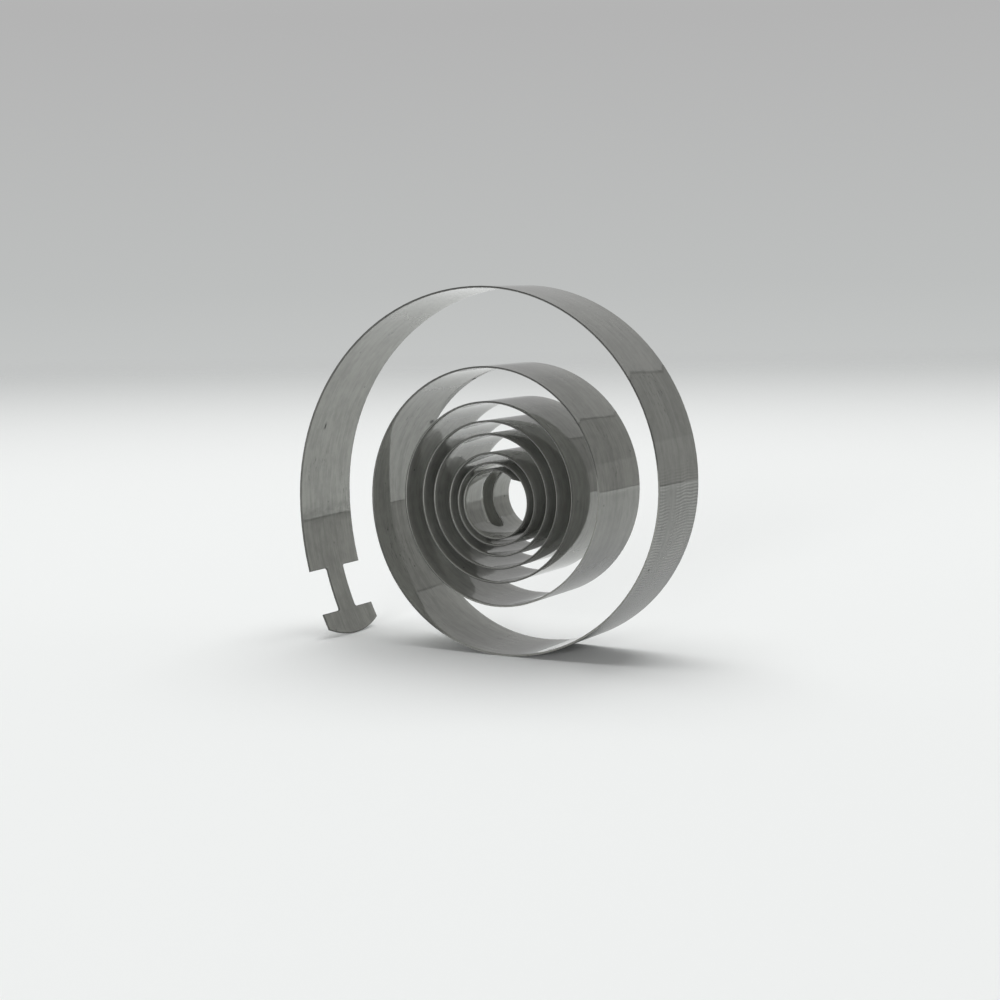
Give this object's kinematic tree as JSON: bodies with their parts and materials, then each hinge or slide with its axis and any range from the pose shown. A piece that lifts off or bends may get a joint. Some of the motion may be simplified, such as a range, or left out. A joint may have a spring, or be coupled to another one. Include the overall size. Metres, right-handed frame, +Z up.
{
  "type": "power spring",
  "caption": "Flat steel power spring wound in an open spiral, with a T-shaped tang at its outer end and a slotted inner end that hooks onto an arbor.",
  "frame": {"origin": "on the ground that the spring stands on, below the middle of its overall width and of the strip's width", "axes": "+Y along the coil axis, +Z up, +X to the right of the coil as seen with the tang at the lower left"},
  "size_m": [0.0574, 0.0124, 0.0507],
  "materials": {
    "spring_steel": "satin"
  },
  "bodies": {
    "root": {"spring_strip": "spring_steel"}
  },
  "joints": []
}
